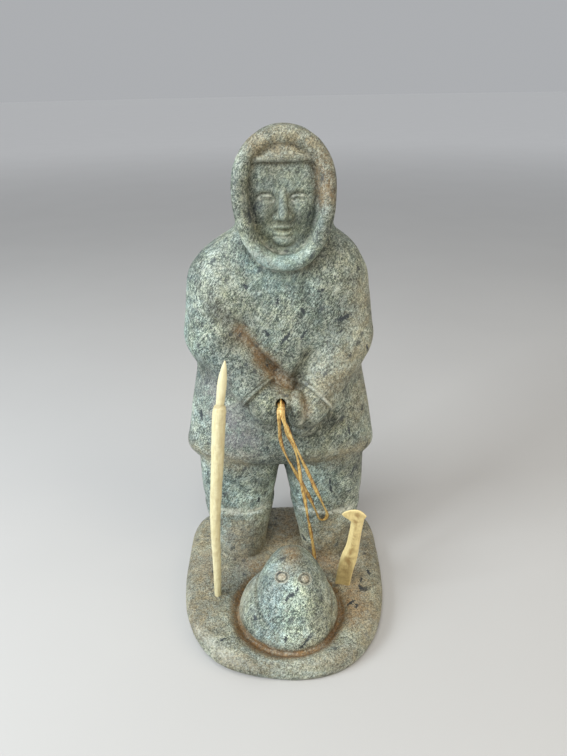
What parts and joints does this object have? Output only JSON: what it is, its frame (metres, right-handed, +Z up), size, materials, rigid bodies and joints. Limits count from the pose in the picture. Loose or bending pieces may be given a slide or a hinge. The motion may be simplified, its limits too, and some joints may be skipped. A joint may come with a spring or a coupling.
{
  "type": "soapstone fisherman carving",
  "caption": "Stone figure in a hooded parka who waits over a seal in its breathing hole, on a thin base, with an antler harpoon, a snow knife and sinew lines.",
  "frame": {"origin": "under the middle of the base, on its underside", "axes": "+Z up, the figure and the seal face -Y, +X to the right as seen from the front"},
  "size_m": [0.094, 0.1, 0.2017],
  "materials": {
    "soapstone": "matte, mottled",
    "antler": "satin",
    "yellow_antler": "satin",
    "sinew": "waxy"
  },
  "bodies": {
    "root": {"stone_carving": "soapstone", "harpoon": "antler", "snow_knife": "yellow_antler", "sinew_line": "sinew", "sinew_loop": "sinew"}
  },
  "joints": []
}
